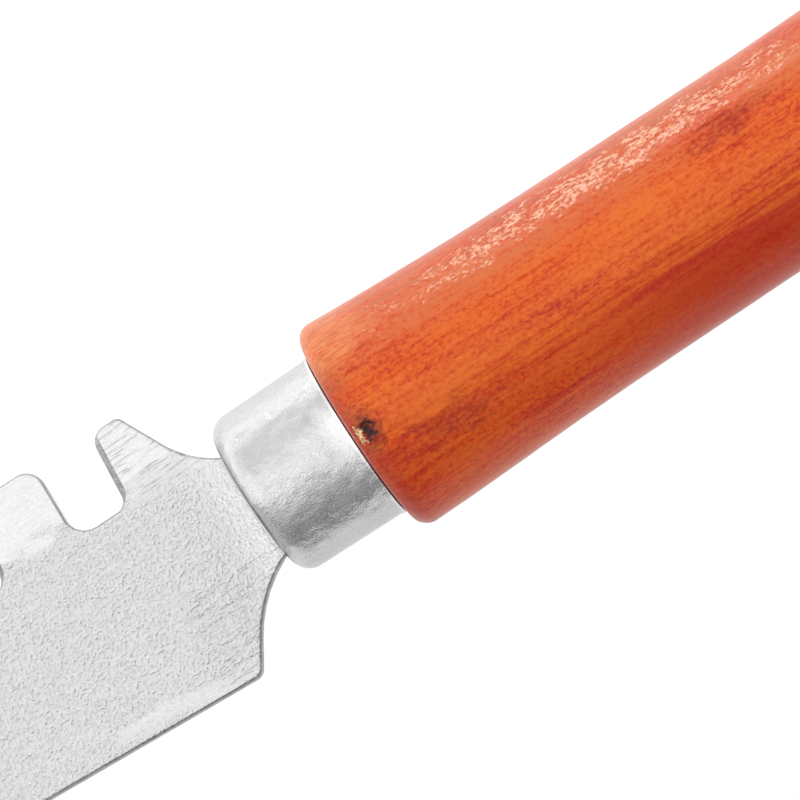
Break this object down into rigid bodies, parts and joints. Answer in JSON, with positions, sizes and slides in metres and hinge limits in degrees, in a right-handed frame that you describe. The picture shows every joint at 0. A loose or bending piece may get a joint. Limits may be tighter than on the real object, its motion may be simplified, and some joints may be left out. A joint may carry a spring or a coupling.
{
  "type": "uncapping knife",
  "caption": "Long flat knife with a straight cutting edge, a hooked and notched back for scraping hive frames, a ferrule and a turned wooden handle.",
  "frame": {"origin": "on the handle's axis, half way along the whole tool", "axes": "+X along the tool from the blade's tip to the handle's butt, +Y towards the blade's notched back, +Z square to the blade's flat"},
  "size_m": [0.3578, 0.0393, 0.0308],
  "materials": {
    "blade_steel": "pebbled rolled steel, belt-ground near its edges",
    "ferrule_steel": "drawn, tumbled to a satin shine",
    "lacquered_wood": "stained red-orange under clear gloss lacquer",
    "resin": "cured amber resin"
  },
  "bodies": {
    "root": {"blade": "blade_steel", "ferrule": "ferrule_steel", "handle": "lacquered_wood", "tang_resin": "resin"}
  },
  "joints": []
}
